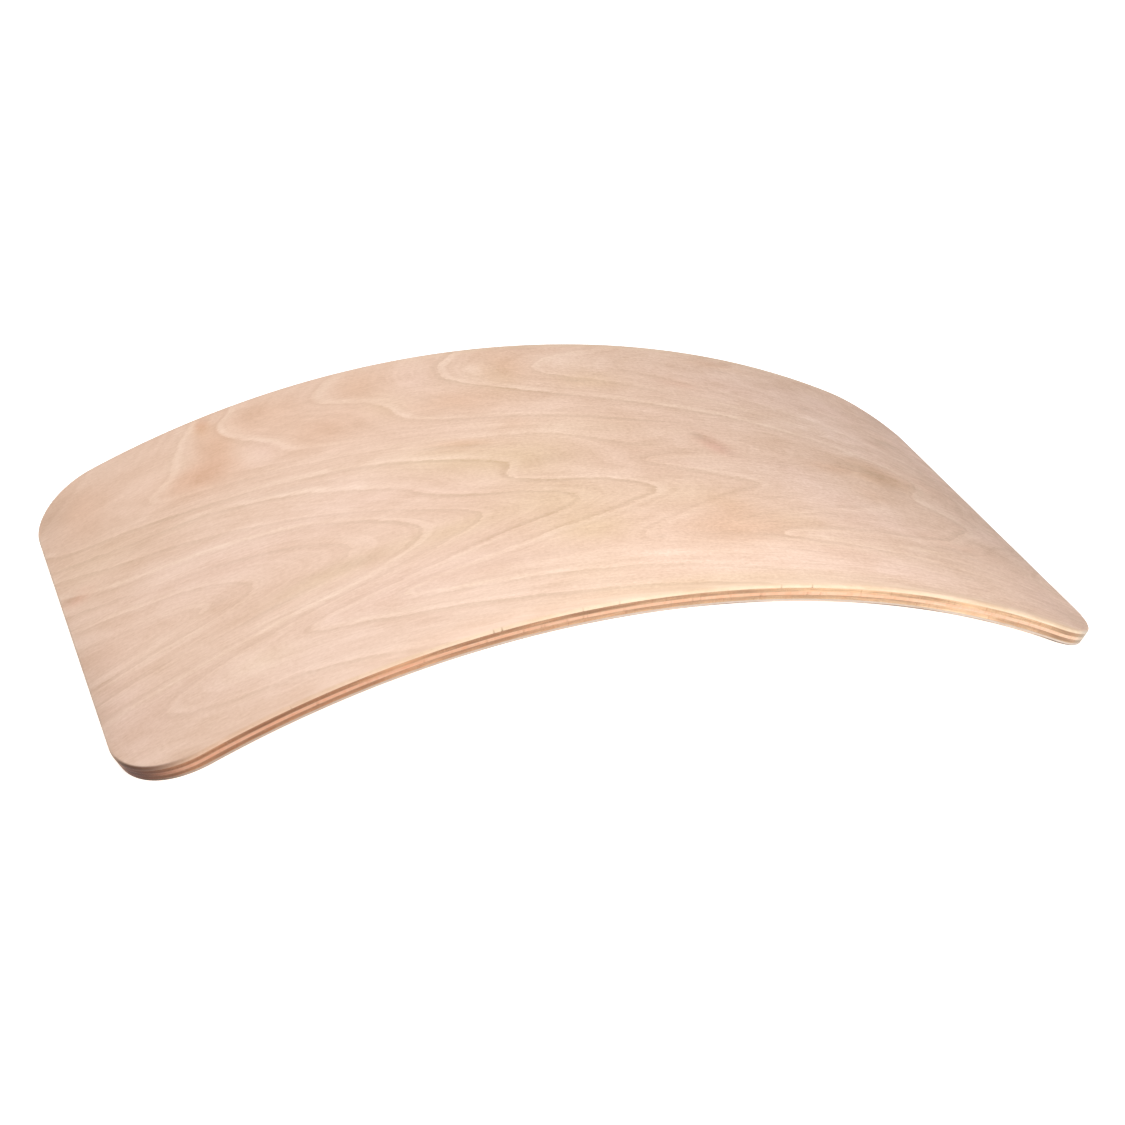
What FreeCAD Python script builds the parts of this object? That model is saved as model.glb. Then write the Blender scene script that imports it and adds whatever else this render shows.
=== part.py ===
import FreeCAD, Part
import Sketcher
import math
import os

# Balance arch: a board pressed from five veneers into one circular arc, standing crown
# up on its two short ends. Millimetres, +Z up, +X along the length, +Y across the width.
# The origin is the middle of the footprint, on the surface that the two ends stand on.
#
# The board is a glued stack. From the crown down: a face veneer with its grain along the
# board, a crossband with its grain across it, a thinner long-grain core, a second
# crossband and a second face veneer, with a resin film pressed between each pair.
# Every sheet is a concentric ring sector cut to the same outline, so all the edges are
# flush. The round-over of the long edges and ends lies within the two face veneers.

doc = FreeCAD.newDocument("balance_arch")

# Driving dimensions -----------------------------------------------------------------
sheet = doc.addObject("Spreadsheet::Sheet", "Dims")
dimensions = [
    ("arc_length", "800"),      # along the top surface, end to end
    ("crown_radius", "758"),    # top surface
    ("board_width", "415"),
    ("corner_radius", "60"),    # outline corners, seen square to the surface
    ("round_over", "2.5"),      # edge rounding, top and bottom
    ("face_ply", "3"),
    ("cross_ply", "3"),
    ("core_ply", "2.4"),
    ("glue_film", "0.15"),
]
for row, (alias, value) in enumerate(dimensions, start=1):
    sheet.set("A%d" % row, alias)
    sheet.set("B%d" % row, value)
    sheet.setAlias("B%d" % row, alias)
doc.recompute()

dim = {alias: float(sheet.get(alias)) for alias, _ in dimensions}

# The stack, from the crown down: node name, thickness cell, rounded side --------------
stack = [
    ("top_face_veneer", "face_ply", "outer"),
    ("glue_line_upper_outer", "glue_film", None),
    ("upper_crossband_ply", "cross_ply", None),
    ("glue_line_upper_inner", "glue_film", None),
    ("core_ply", "core_ply", None),
    ("glue_line_lower_inner", "glue_film", None),
    ("lower_crossband_ply", "cross_ply", None),
    ("glue_line_lower_outer", "glue_film", None),
    ("bottom_face_veneer", "face_ply", "inner"),
]

# Half of the arc, in degrees, and the height of the arc's centre. The centre lies below
# the floor by the height of the rounded lower end edges above it.
half_angle = "(Dims.arc_length / Dims.crown_radius / 2 * 180 / pi * 1 deg)"
thickness = " + ".join("Dims.%s" % cell for _, cell, _ in stack)
centre_z = (
    "-((Dims.crown_radius - (%s) + Dims.round_over) * cos(%s)"
    " + Dims.round_over * sin(%s) - Dims.round_over)" % (thickness, half_angle, half_angle)
)
half = dim["arc_length"] / dim["crown_radius"] / 2.0


def radius_expression(cells_above):
    return " - ".join(["Dims.crown_radius"] + ["Dims.%s" % cell for cell in cells_above])


def plane_of(body, role):
    for feature in body.Origin.OriginFeatures:
        if feature.Role == role:
            return feature
    raise RuntimeError("no plane " + role)


def edge_names(shape, keep):
    return ["Edge%d" % (i + 1) for i, edge in enumerate(shape.Edges) if keep(edge)]


def samples(edge):
    first, last = edge.ParameterRange
    return [edge.valueAt(first + (last - first) * k / 4.0) for k in range(5)]


def on_radius(edge, radius):
    return all(abs(math.hypot(p.x, p.z) - radius) < 1e-3 for p in samples(edge))


def make_sheet(label, cells_above, cells, rounded):
    outer_value = dim["crown_radius"] - sum(dim[c] for c in cells_above)
    inner_value = outer_value - sum(dim[c] for c in cells)
    outer_expr = radius_expression(cells_above)
    inner_expr = radius_expression(cells_above + cells)

    body = doc.addObject("PartDesign::Body", "Body_" + label)
    body.Label = label

    # Section: a ring sector about the arc's centre, ends cut square to the surface.
    sketch = body.newObject("Sketcher::SketchObject", "Section_" + label)
    sketch.AttachmentSupport = (plane_of(body, "XZ_Plane"), [""])
    sketch.MapMode = "FlatFace"
    start, end = math.pi / 2 - half, math.pi / 2 + half
    origin, normal = FreeCAD.Vector(0, 0, 0), FreeCAD.Vector(0, 0, 1)

    def at(radius, angle):
        return FreeCAD.Vector(radius * math.cos(angle), radius * math.sin(angle), 0)

    upper = sketch.addGeometry(Part.ArcOfCircle(Part.Circle(origin, normal, outer_value), start, end), False)
    lower = sketch.addGeometry(Part.ArcOfCircle(Part.Circle(origin, normal, inner_value), start, end), False)
    right = sketch.addGeometry(Part.LineSegment(at(outer_value, start), at(inner_value, start)), False)
    left = sketch.addGeometry(Part.LineSegment(at(outer_value, end), at(inner_value, end)), False)
    C = Sketcher.Constraint
    for arc in (upper, lower):
        sketch.addConstraint(C("Coincident", arc, 3, -1, 1))
    sketch.addConstraint(C("Coincident", upper, 1, right, 1))
    sketch.addConstraint(C("Coincident", lower, 1, right, 2))
    sketch.addConstraint(C("Coincident", upper, 2, left, 1))
    sketch.addConstraint(C("Coincident", lower, 2, left, 2))
    outer_reach, inner_reach = outer_value * math.sin(half), inner_value * math.sin(half)
    outer_reach_expr = "(%s) * sin(%s)" % (outer_expr, half_angle)
    inner_reach_expr = "(%s) * sin(%s)" % (inner_expr, half_angle)
    named = [
        ("outer_radius", C("Radius", upper, outer_value), outer_expr),
        ("inner_radius", C("Radius", lower, inner_value), inner_expr),
        ("outer_right_reach", C("DistanceX", -1, 1, upper, 1, outer_reach), outer_reach_expr),
        ("outer_left_reach", C("DistanceX", upper, 2, -1, 1, outer_reach), outer_reach_expr),
        ("inner_right_reach", C("DistanceX", -1, 1, lower, 1, inner_reach), inner_reach_expr),
        ("inner_left_reach", C("DistanceX", lower, 2, -1, 1, inner_reach), inner_reach_expr),
    ]
    for name, constraint, expression in named:
        index = sketch.addConstraint(constraint)
        sketch.renameConstraint(index, name)
        sketch.setExpression("Constraints." + name, expression)

    # The pressed blank, as wide as the board.
    pad = body.newObject("PartDesign::Pad", "Blank_" + label)
    pad.Profile = sketch
    if "SideType" in pad.PropertiesList:
        pad.SideType = "Symmetric"
    else:
        pad.Midplane = True
    pad.setExpression("Length", "Dims.board_width")
    doc.recompute()

    # The four outline corners, about lines square to the surface at each end.
    width = dim["board_width"]
    corner_edges = edge_names(
        pad.Shape,
        lambda e: isinstance(e.Curve, (Part.Line, Part.LineSegment))
        and all(abs(abs(p.y) - width / 2.0) < 1e-3 for p in samples(e)),
    )
    if len(corner_edges) != 4:
        raise RuntimeError("%s: %d corner edges" % (label, len(corner_edges)))
    corners = body.newObject("PartDesign::Fillet", "Corners_" + label)
    corners.Base = (pad, corner_edges)
    corners.setExpression("Radius", "Dims.corner_radius")
    doc.recompute()

    # The round-over runs all the way round the exposed face of a face veneer.
    if rounded:
        radius = outer_value if rounded == "outer" else inner_value
        rim_edges = edge_names(corners.Shape, lambda e: on_radius(e, radius))
        if len(rim_edges) != 8:
            raise RuntimeError("%s: %d rim edges" % (label, len(rim_edges)))
        rim = body.newObject("PartDesign::Fillet", "RoundOver_" + label)
        rim.Base = (corners, rim_edges)
        rim.setExpression("Radius", "Dims.round_over")

    # The arc's centre goes below the floor, so that the rounded ends stand on Z = 0.
    body.setExpression("Placement.Base.z", centre_z)
    return body


def make_ring(label, cells_above):
    # A solid cylinder about the arc's centre line, longer than the board is wide.
    ring = doc.addObject("Part::Cylinder", label)
    ring.setExpression("Radius", radius_expression(cells_above))
    ring.setExpression("Height", "Dims.board_width * 1.2")
    ring.Placement = FreeCAD.Placement(
        FreeCAD.Vector(0, 0, 0), FreeCAD.Rotation(FreeCAD.Vector(1, 0, 0), 90))
    ring.setExpression("Placement.Base.y", "Dims.board_width * 0.6")
    ring.setExpression("Placement.Base.z", centre_z)
    return ring


def make_film(label, cells_above, cell, outline):
    # A glue film is a cylindrical shell trimmed to the board's own outline.
    shell = doc.addObject("Part::Cut", "Shell_" + label)
    shell.Base = make_ring("Outside_" + label, cells_above)
    shell.Tool = make_ring("Inside_" + label, cells_above + [cell])
    film = doc.addObject("Part::Common", "Film_" + label)
    film.Base = shell
    film.Tool = outline
    film.Label = label
    return film


# The whole stack before its edges are rounded: the outline that the films are trimmed to.
outline = make_sheet("trimmed_blank", [], [cell for _, cell, _ in stack], None)

bodies = []
above = []
for label, cell, rounded in stack:
    if cell == "glue_film":
        bodies.append(make_film(label, list(above), cell, outline))
    else:
        bodies.append(make_sheet(label, list(above), [cell], rounded))
    above.append(cell)
doc.recompute()

# Every object must have solved, and every sheet must be one valid solid ---------------
for item in doc.Objects:
    state = item.State
    if "Invalid" in state or "Error" in state:
        raise RuntimeError("%s did not solve: %s" % (item.Label, state))
for body in bodies:
    shape = body.Shape
    if shape.isNull() or not shape.isValid() or len(shape.Solids) != 1:
        raise RuntimeError(body.Label + " is not one valid solid")

# Each sheet's volume and its exact box.
for body in bodies:
    box = body.Shape.optimalBoundingBox(False, False)
    print("%-24s volume %9.1f mm3  x %.2f..%.2f  y %.2f..%.2f  z %.3f..%.3f"
          % (body.Label, body.Shape.Volume, box.XMin, box.XMax, box.YMin, box.YMax, box.ZMin, box.ZMax))

os.makedirs("parts", exist_ok=True)
for body in bodies:
    body.Shape.exportStep("parts/%s.step" % body.Label)
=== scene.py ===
import math

import bpy
import numpy as np
from mathutils import Matrix, Vector


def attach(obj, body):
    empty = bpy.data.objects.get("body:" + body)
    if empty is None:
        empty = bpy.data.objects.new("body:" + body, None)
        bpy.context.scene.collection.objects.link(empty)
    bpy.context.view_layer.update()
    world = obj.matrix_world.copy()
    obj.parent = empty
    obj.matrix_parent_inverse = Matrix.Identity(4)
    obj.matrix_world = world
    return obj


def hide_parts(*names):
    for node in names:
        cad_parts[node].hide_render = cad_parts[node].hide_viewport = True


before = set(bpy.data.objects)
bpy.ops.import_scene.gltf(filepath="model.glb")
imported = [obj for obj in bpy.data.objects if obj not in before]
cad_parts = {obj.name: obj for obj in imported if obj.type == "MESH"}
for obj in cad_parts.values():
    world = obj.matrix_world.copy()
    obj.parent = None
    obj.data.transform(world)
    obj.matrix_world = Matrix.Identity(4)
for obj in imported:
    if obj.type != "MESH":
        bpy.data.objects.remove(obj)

# The board's own sizes, in millimetres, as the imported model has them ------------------
MM = 0.001
CROWN_RADIUS, ARC, WIDTH, CORNER, ROUND = 758.0, 800.0, 415.0, 60.0, 2.5
FACE, CROSS, CORE, GLUE = 3.0, 3.0, 2.4, 0.15
THICK = 2 * FACE + 2 * CROSS + CORE + 4 * GLUE
HALF = ARC / CROWN_RADIUS / 2.0
CENTRE_Z = -((CROWN_RADIUS - THICK + ROUND) * math.cos(HALF) + ROUND * math.sin(HALF) - ROUND)
CROWN_Z = CROWN_RADIUS + CENTRE_Z


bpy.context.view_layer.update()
scene = bpy.context.scene

# Camera -------------------------------------------------------------------------------
AZ, EL, ROLL, FAR, FOCAL, YAW, PITCH = -0.379112, 0.474696, 0.071078, 2.271411, 2373.263, -0.001464, 0.043700


def direction(azimuth, elevation):
    return Vector((math.sin(azimuth) * math.cos(elevation), -math.cos(azimuth) * math.cos(elevation), math.sin(elevation)))


eye = direction(AZ, EL) * (FAR * ARC * MM) + Vector((0, 0, CROWN_Z * MM))
back = direction(AZ + YAW, EL + PITCH)
right0 = (-back).cross(Vector((0, 0, 1))).normalized()
up0 = right0.cross(-back)
right = math.cos(ROLL) * right0 + math.sin(ROLL) * up0
up = -math.sin(ROLL) * right0 + math.cos(ROLL) * up0
camera_data = bpy.data.cameras.new("camera")
camera_data.sensor_width = 36.0
camera_data.lens = 36.0 * FOCAL / 1125.0
camera_data.clip_start, camera_data.clip_end = 0.05, 60.0
camera = bpy.data.objects.new("camera", camera_data)
scene.collection.objects.link(camera)
camera.matrix_world = Matrix((
    (right.x, up.x, back.x, eye.x),
    (right.y, up.y, back.y, eye.y),
    (right.z, up.z, back.z, eye.z),
    (0, 0, 0, 1)))
scene.camera = camera

# The figure of the top veneer ---------------------------------------------------------
# Growth rings cut by the veneer knife: each line is one ring boundary, drawn as a few
# points on the flat veneer (along the board, across it, in mm). A thin-plate surface
# through them gives the ring number everywhere.
RINGS = {
    -1: [(-400, -22), (-355, -34), (-318, -44), (-300, -54), (-320, -63), (-360, -67), (-400, -69)],
    0: [(-400, 2), (-370, -6), (-335, -17), (-300, -26), (-283, -34), (-270, -45), (-264, -55), (-268, -63), (-282, -69),
        (-310, -74), (-350, -77), (-400, -79)],
    1: [(-400, 27), (-375, 19), (-350, 10), (-310, -2), (-270, -13), (-240, -22), (-215, -32), (-198, -42), (-187, -53),
        (-192, -63), (-210, -72), (-240, -80), (-280, -88), (-330, -95), (-400, -100)],
    2: [(-398, 52), (-385, 44), (-370, 34), (-350, 26), (-320, 18), (-280, 11), (-240, 3), (-210, -6), (-190, -14),
        (-165, -26), (-150, -37), (-138, -49), (-133, -58), (-137, -68), (-150, -80), (-175, -92), (-200, -101),
        (-225, -104), (-260, -110), (-300, -115), (-350, -119), (-400, -120)],
    3: [(-400, 78), (-380, 69), (-350, 55), (-325, 47), (-300, 40), (-275, 31), (-255, 23), (-230, 13), (-200, 2),
        (-180, -8), (-150, -21), (-130, -31), (-110, -41), (-93, -51), (-88, -59), (-92, -67), (-103, -76), (-122, -84),
        (-142, -91), (-167, -99), (-200, -108), (-250, -118), (-300, -127), (-340, -137), (-352, -146), (-345, -156),
        (-320, -168), (-298, -174), (-260, -179), (-222, -188), (-190, -198), (-165, -205)],
    4: [(-400, 95), (-375, 85), (-350, 77), (-320, 70), (-285, 65), (-260, 59), (-240, 52), (-210, 43), (-185, 31),
        (-165, 21), (-147, 12), (-133, 5), (-125, -2), (-119, -10), (-108, -19), (-93, -26), (-73, -32), (-50, -38),
        (-33, -43), (-17, -50), (-11, -57), (-15, -66), (-30, -75), (-55, -84), (-80, -92), (-105, -100), (-130, -108),
        (-165, -117), (-200, -123), (-225, -126), (-240, -130), (-236, -137), (-224, -144), (-200, -150), (-170, -160),
        (-145, -166), (-118, -172), (-88, -179), (-50, -187), (0, -193), (50, -200), (90, -206)],
    5: [(-400, 118), (-380, 104), (-355, 97), (-330, 91), (-300, 83), (-270, 75), (-240, 69), (-200, 61), (-170, 55),
        (-150, 50), (-125, 43), (-100, 34), (-75, 23), (-52, 13), (-42, 7), (-47, -2), (-53, -10), (-48, -18),
        (-33, -25), (-10, -30), (15, -34), (33, -41), (46, -49), (53, -57), (48, -64), (30, -73), (10, -83), (-15, -92),
        (-40, -99), (-62, -106), (-90, -113), (-120, -119), (-150, -124), (-168, -130), (-172, -135), (-160, -142),
        (-140, -147), (-110, -152), (-75, -157), (-25, -163), (15, -168), (60, -177), (110, -186), (170, -193), (240, -200)],
    6: [(-250, 207), (-257, 192), (-271, 172), (-280, 155), (-283, 141), (-296, 127), (-308, 114), (-298, 105),
        (-270, 97), (-240, 91), (-200, 82), (-150, 70), (-100, 61), (-50, 54), (0, 46), (25, 36), (42, 26), (62, 19),
        (85, 24), (105, 34), (118, 39), (127, 33), (133, 22), (137, 9), (126, 2), (100, -2), (72, -6), (58, -12),
        (72, -20), (98, -29), (120, -36), (138, -43), (145, -49), (138, -56), (120, -65), (95, -76), (70, -89),
        (50, -101), (30, -113), (18, -122), (15, -129), (30, -137), (60, -143), (100, -149), (150, -157), (220, -166),
        (300, -177), (380, -188)],
    6.5: [(-218, 207), (-236, 185), (-237, 171), (-228, 155), (-215, 140), (-204, 128), (-197, 115), (-188, 104),
          (-165, 95), (-130, 87), (-100, 80), (-50, 71), (0, 62)],
    7: [(-128, 207), (-147, 188), (-157, 173), (-150, 160), (-130, 150), (-114, 142), (-105, 129), (-103, 116),
        (-95, 104), (-75, 93), (-50, 86), (0, 78), (50, 68), (90, 58), (150, 51), (200, 46), (235, 38), (258, 25),
        (262, 10), (243, -6), (217, -20), (226, -33), (244, -44), (250, -52), (240, -62), (215, -72), (180, -83),
        (140, -95), (110, -107), (85, -118), (76, -128), (90, -136), (130, -142), (190, -150), (260, -161), (330, -171),
        (400, -181)],
    8: [(-22, 207), (-35, 196), (-46, 184), (-50, 172), (-48, 160), (-38, 149), (-20, 138), (0, 127), (25, 115),
        (50, 106), (75, 99), (100, 91), (125, 85), (150, 79), (175, 74), (200, 66), (225, 58), (255, 50), (285, 42),
        (310, 33), (325, 20), (322, 5), (312, -8), (303, -20), (304, -29), (318, -36), (333, -44), (342, -52),
        (336, -62), (322, -74), (308, -87), (298, -97), (275, -105), (250, -112), (200, -117), (150, -122), (128, -128),
        (122, -132), (130, -136), (155, -140), (200, -145), (250, -151), (320, -160), (400, -171)],
    9: [(112, 207), (92, 195), (60, 187), (40, 176), (29, 163), (33, 151), (50, 143), (75, 136), (100, 126), (125, 115),
        (150, 104), (185, 95), (220, 86), (260, 75), (300, 62), (335, 48), (360, 30), (372, 10), (362, -8), (355, -25),
        (365, -38), (383, -48), (390, -56), (378, -66), (356, -78), (342, -92), (326, -106), (300, -118), (262, -126),
        (240, -131), (252, -136), (290, -141), (350, -150), (400, -158)],
    10: [(190, 207), (150, 195), (120, 182), (107, 166), (115, 150), (150, 141), (178, 129), (205, 117), (250, 101),
         (300, 84), (350, 64), (385, 42), (400, 25)],
    11: [(262, 207), (222, 190), (200, 172), (212, 158), (250, 143), (300, 125), (350, 103), (400, 76)],
    12: [(332, 207), (305, 188), (300, 172), (315, 160), (350, 145), (400, 121)],
}
SQUEEZE = np.array([1 / 2.6, 1.0])  # rings run long along the grain


def bend(r2):
    return 0.5 * r2 * np.log(r2 + 1e-9)


def thin_plate(points, values, slack):
    n = len(points)
    lhs = np.zeros((n + 3, n + 3))
    lhs[:n, :n] = bend(((points[:, None] - points[None]) ** 2).sum(2)) + slack * np.eye(n)
    lhs[:n, n] = lhs[n, :n] = 1
    lhs[:n, n + 1:] = points
    lhs[n + 1:, :n] = points.T
    weights = np.linalg.solve(lhs, np.concatenate([values, np.zeros(3)]))

    def field(along, across):
        at = np.stack([along, across], 1) * SQUEEZE
        out = np.empty(len(at))
        for k in range(0, len(at), 8192):
            part = at[k:k + 8192]
            r2 = ((part[:, None] - points[None]) ** 2).sum(2)
            out[k:k + 8192] = bend(r2) @ weights[:-3] + weights[-3] + part @ weights[-2:]
        return out

    return field


ring_points = np.array([p for line in RINGS.values() for p in line], float) * SQUEEZE
ring_values = np.array([n for n, line in RINGS.items() for _ in line], float)
ring_surface = thin_plate(ring_points, ring_values, 60.0)


def count_rings(level):
    """Number the drawn boundaries 0, 1, 2...: the narrow ring at 6.5 counts as one of its own."""
    return np.where(level < 6, level, np.where(level < 7, 2 * level - 6, level + 1))


def top_rings(along, across):
    return count_rings(ring_surface(along, across))


# How plainly each boundary shows along its way: along, across, dark line, pale line.
SHOWS = {
    -1: [(-400, -22, .2, .1), (-300, -54, .25, .4), (-400, -69, .3, .3)],
    0: [(-400, 2, .5, .5), (-370, -6, .3, .8), (-335, -17, .3, .9), (-300, -26, .4, .5), (-270, -45, .5, .3), (-264, -55, .55, .3),
        (-268, -63, .45, .3), (-310, -74, .3, .6), (-350, -77, .4, .6), (-400, -79, .8, .5)],
    1: [(-400, 27, .8, .1), (-375, 19, .8, .1), (-350, 10, .3, .2), (-310, -2, .2, .2), (-270, -13, .6, .2), (-240, -22, .7, .2),
        (-215, -32, .6, .2), (-198, -42, .5, .3), (-187, -53, .6, .5), (-192, -63, .4, .4), (-210, -72, .3, .1), (-240, -80, .2, .1),
        (-280, -88, .2, .1), (-330, -95, .3, .2), (-400, -100, .7, .2)],
    2: [(-398, 52, .8, .6), (-385, 44, .5, 1), (-370, 34, .3, 1), (-350, 26, .2, .9), (-320, 18, .2, .9), (-280, 11, .2, .8),
        (-240, 3, .2, .7), (-210, -6, .3, .6), (-190, -14, .4, .5), (-165, -26, .6, .5), (-150, -37, .7, .5), (-138, -49, .9, .4),
        (-133, -58, .8, .4), (-137, -68, .7, .5), (-150, -80, .5, .8), (-175, -92, .3, .9), (-200, -101, .3, 1), (-225, -104, .3, 1),
        (-260, -110, .2, 1), (-300, -115, .2, 1), (-350, -119, .3, .8), (-400, -120, .6, .5)],
    3: [(-400, 78, .3, .2), (-350, 55, .6, .3), (-325, 47, .5, .4), (-300, 40, .8, .3), (-275, 31, .8, .2), (-255, 23, .6, .2),
        (-230, 13, .3, .2), (-200, 2, .3, .3), (-180, -8, .3, .4), (-150, -21, .3, .2), (-130, -31, .5, .2), (-110, -41, .6, .2),
        (-93, -51, .55, .1), (-88, -59, .6, .1), (-92, -67, .6, .1), (-103, -76, .6, .1), (-122, -84, .6, .2), (-142, -91, .5, .4),
        (-167, -99, .5, .2), (-200, -108, .3, .2), (-250, -118, .4, .3), (-300, -127, .5, .3), (-340, -137, .3, .3), (-352, -146, .3, .5),
        (-345, -156, .35, .4), (-320, -168, .5, .3), (-298, -174, .6, .3), (-260, -179, .55, .4), (-222, -188, .55, .3), (-190, -198, .5, .3)],
    4: [(-400, 95, 1, .1), (-375, 85, .9, .1), (-350, 77, .5, .2), (-320, 70, .6, .4), (-285, 65, .8, .3), (-260, 59, .8, .6),
        (-240, 52, .6, .7), (-210, 43, .5, 1), (-185, 31, .3, .9), (-165, 21, .2, .7), (-147, 12, .3, .4), (-133, 5, .4, .2),
        (-119, -10, .7, .2), (-108, -19, .8, .2), (-73, -32, .8, .3), (-50, -38, .8, .4), (-33, -43, .4, .6), (-17, -50, 1, .2),
        (-11, -57, 1, .1), (-15, -66, .9, .1), (-30, -75, 1, .1), (-55, -84, 1, .1), (-80, -92, 1, .1), (-105, -100, .6, .6),
        (-130, -108, .2, .6), (-165, -117, .3, .3), (-225, -126, .3, .2), (-240, -130, .4, .2), (-224, -144, .4, .6), (-200, -150, .5, .9),
        (-170, -160, .8, .9), (-145, -166, .9, .6), (-118, -172, .8, .3), (-88, -179, .9, .2), (-50, -187, .9, .3), (0, -193, .9, .3),
        (50, -200, .9, .3)],
    5: [(-400, 118, .7, .4), (-380, 104, .8, .3), (-355, 97, .5, .2), (-330, 91, .5, .2), (-300, 83, 1, .2), (-270, 75, 1, .3),
        (-240, 69, .4, .8), (-200, 61, .4, .9), (-170, 55, .5, .8), (-150, 50, .7, 1), (-125, 43, .6, 1), (-100, 34, .9, .7),
        (-75, 23, .9, .7), (-52, 13, .9, .6), (-42, 7, 1, .3), (-47, -2, .6, .4), (-53, -10, 1, .3), (-33, -25, 1, .4), (-10, -30, 1, .4),
        (15, -34, 1, .8), (33, -41, 1, .9), (46, -49, 1, .6), (53, -57, 1, .4), (30, -73, .9, .3), (10, -83, .9, .3), (-15, -92, .9, .3),
        (-40, -99, .4, .8), (-62, -106, .2, 1), (-90, -113, .1, .9), (-120, -119, .1, .5), (-150, -124, .2, .5), (-172, -135, .2, .7),
        (-160, -142, .3, .8), (-140, -147, .6, 1), (-110, -152, .6, 1), (-75, -157, .5, 1), (-25, -163, .5, .5), (15, -168, .7, .3),
        (60, -177, .7, .2), (110, -186, .5, .1), (170, -193, .3, .1)],
    6: [(-250, 207, .3, .4), (-257, 192, .2, .6), (-271, 172, .3, .6), (-280, 155, .3, .5), (-283, 141, .2, .5), (-296, 127, .1, .6),
        (-308, 114, .1, .6), (-298, 105, .1, .3), (-270, 97, .1, .2), (-240, 91, .6, .2), (-200, 82, .2, .2), (-150, 70, .1, .3),
        (-100, 61, .1, .4), (-50, 54, .1, .9), (0, 46, .1, .9), (25, 36, .3, .8), (42, 26, .5, .5), (62, 19, .7, .3), (85, 24, .2, .5),
        (105, 34, .1, .5), (118, 39, .05, .2), (127, 33, 0, 0), (137, 9, 0, 0), (100, -2, .4, .2), (72, -6, .6, .3), (58, -12, .7, .3),
        (72, -20, .3, .9), (98, -29, .5, .8), (120, -36, .6, .9), (138, -43, .8, .5), (145, -49, .9, .3), (138, -56, .8, .2),
        (120, -65, .3, .1), (95, -76, .3, .1), (70, -89, .5, .2), (50, -101, .4, .4), (30, -113, .2, .5), (18, -122, .3, .4),
        (15, -129, .25, .1), (60, -143, .3, .2), (100, -149, .2, .3), (150, -157, .2, .2), (300, -177, .15, .2)],
    7: [(-218, 207, .1, .4), (-236, 185, .1, .7), (-237, 171, .1, .7), (-228, 155, .4, .7), (-215, 140, .3, .6), (-204, 128, .3, .6),
        (-197, 115, .2, .6), (-188, 104, .1, .4), (-165, 95, 0, .1), (-100, 80, 0, 0), (0, 62, 0, 0), (120, 44, 0, 0), (200, 10, 0, 0),
        (190, -50, 0, 0), (110, -90, 0, 0), (50, -125, 0, 0), (150, -150, 0, 0)],
    8: [(-128, 207, .1, .6), (-147, 188, .1, .7), (-157, 173, .15, .9), (-130, 150, .15, .8), (-105, 129, .2, .6), (-95, 104, .3, .8),
        (-75, 93, .3, .8), (-50, 86, .4, .6), (0, 78, .5, .4), (50, 68, .5, .2), (90, 58, .6, .1), (150, 51, .2, .1), (200, 46, .1, .1),
        (258, 25, .2, .1), (262, 10, .1, .1), (217, -20, .1, .1), (250, -52, .1, .1), (215, -72, .3, .3), (180, -83, .3, .4),
        (140, -95, .3, .2), (110, -107, .3, .1), (76, -128, .15, .1), (130, -142, .3, .2), (190, -150, .2, .2), (330, -171, .15, .2)],
    9: [(-22, 207, .8, .5), (-46, 184, .9, .9), (-50, 172, 1, 1), (-38, 149, 1, .9), (0, 127, 1, .9), (25, 115, .9, .7), (50, 106, .8, .7),
        (75, 99, .6, .8), (100, 91, .7, 1), (125, 85, .6, 1), (150, 79, .5, .9), (175, 74, .6, .9), (200, 66, .4, .8), (225, 58, .4, .7),
        (255, 50, .3, .6), (285, 42, .3, .6), (310, 33, .4, .6), (325, 20, .5, .5), (312, -8, .6, .7), (304, -29, .4, .9), (318, -36, .5, .8),
        (342, -52, 1, 1), (322, -74, 1, .4), (298, -97, .8, .4), (275, -105, .7, .3), (250, -112, .6, .3), (200, -117, .6, .2),
        (150, -122, .5, .2), (122, -132, .9, 1), (155, -140, .5, .9), (200, -145, .5, .6), (250, -151, .3, .4), (320, -160, .2, .2)],
    10: [(112, 207, .25, .3), (60, 187, .3, .6), (40, 176, .2, .8), (29, 163, .2, .8), (33, 151, .6, .5), (56, 141, .9, .3), (75, 136, .8, .3),
         (100, 126, .4, .4), (125, 115, .4, .5), (150, 104, .2, .7), (185, 95, .25, .8), (220, 86, .25, .3), (300, 62, .25, .3),
         (335, 48, .3, .3), (372, 10, .3, .3), (390, -56, .5, .4), (378, -66, .7, .3), (342, -92, .4, .2), (240, -131, .3, .6), (290, -141, .2, .3)],
    11: [(150, 195, .2, .2), (107, 166, .3, .3), (115, 150, .5, .2), (150, 141, .4, .3), (205, 117, .2, .4), (300, 84, .25, .4), (385, 42, .25, .3)],
    12: [(222, 190, .2, .2), (200, 172, .3, .2), (250, 143, .2, .2), (350, 103, .3, .3)],
    13: [(305, 188, .2, .2), (315, 160, .2, .2), (350, 145, .3, .2)],
}


def ring_shows(level, along, across):
    table = np.array([(n, *row) for n, rows in SHOWS.items() for row in rows])
    dark, pale = np.empty(len(level)), np.empty(len(level))
    for k in range(0, len(level), 8192):
        cut = slice(k, k + 8192)
        w = np.exp(-((level[cut, None] - table[:, 0]) / 0.55) ** 2 - ((along[cut, None] - table[:, 1]) / 36) ** 2
                   - ((across[cut, None] - table[:, 2]) / 17) ** 2)
        total = w.sum(1) + 0.02
        dark[cut] = (w @ table[:, 3] + 0.02 * 0.22) / total
        pale[cut] = (w @ table[:, 4] + 0.02 * 0.20) / total
    return dark, pale


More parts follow.
